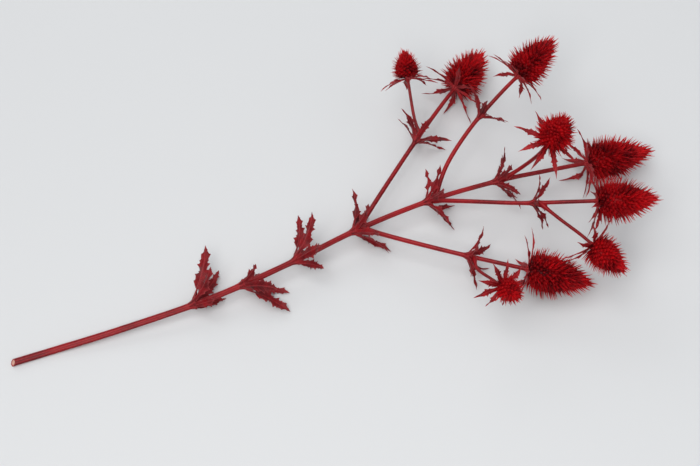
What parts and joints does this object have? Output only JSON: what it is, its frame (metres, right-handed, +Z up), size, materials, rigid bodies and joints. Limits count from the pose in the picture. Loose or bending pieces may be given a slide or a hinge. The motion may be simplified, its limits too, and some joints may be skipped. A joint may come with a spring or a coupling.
{
  "type": "sea holly stem",
  "caption": "Cut sea holly stem lying down: a ribbed, branching stem with whorls of toothed leaves and spiny cone heads, each in a ruff of narrow bracts, dyed deep red.",
  "frame": {"origin": "on the surface that the stem lies on, under the middle of its box", "axes": "+X from the cut end towards the cone heads, +Z up from the surface"},
  "size_m": [0.6034, 0.287, 0.1253],
  "materials": {
    "dyed_stem": "satin, dyed deep red",
    "dyed_leaf": "satin to matt, dyed deep red",
    "dyed_bract": "satin, dyed deep red",
    "dyed_cone": "matt, dyed bright to deep red"
  },
  "bodies": {
    "root": {"main_stem": "dyed_stem", "side_branch_1": "dyed_stem", "side_branch_2": "dyed_stem", "side_branch_3": "dyed_stem", "side_branch_4": "dyed_stem", "side_branch_5": "dyed_stem", "side_branch_6": "dyed_stem", "bud_branch_1": "dyed_stem", "bud_branch_2": "dyed_stem", "stem_leaf_1": "dyed_leaf", "stem_leaf_2": "dyed_leaf", "stem_leaf_3": "dyed_leaf", "leaf_whorl_1": "dyed_leaf", "leaf_whorl_2": "dyed_leaf", "leaf_whorl_3": "dyed_leaf", "leaf_whorl_4": "dyed_leaf", "leaf_whorl_5": "dyed_leaf", "leaf_whorl_6": "dyed_leaf", "leaf_whorl_7": "dyed_leaf", "bract_ruff_1": "dyed_bract", "bract_ruff_2": "dyed_bract", "bract_ruff_3": "dyed_bract", "bract_ruff_4": "dyed_bract", "bract_ruff_5": "dyed_bract", "bract_ruff_6": "dyed_bract", "bract_ruff_7": "dyed_bract", "bract_ruff_8": "dyed_bract", "bract_ruff_9": "dyed_bract", "cone_head_1": "dyed_cone", "cone_head_2": "dyed_cone", "cone_head_3": "dyed_cone", "cone_head_4": "dyed_cone", "cone_head_5": "dyed_cone", "cone_head_6": "dyed_cone", "cone_head_7": "dyed_cone", "cone_head_8": "dyed_cone", "cone_head_9": "dyed_cone"}
  },
  "joints": []
}
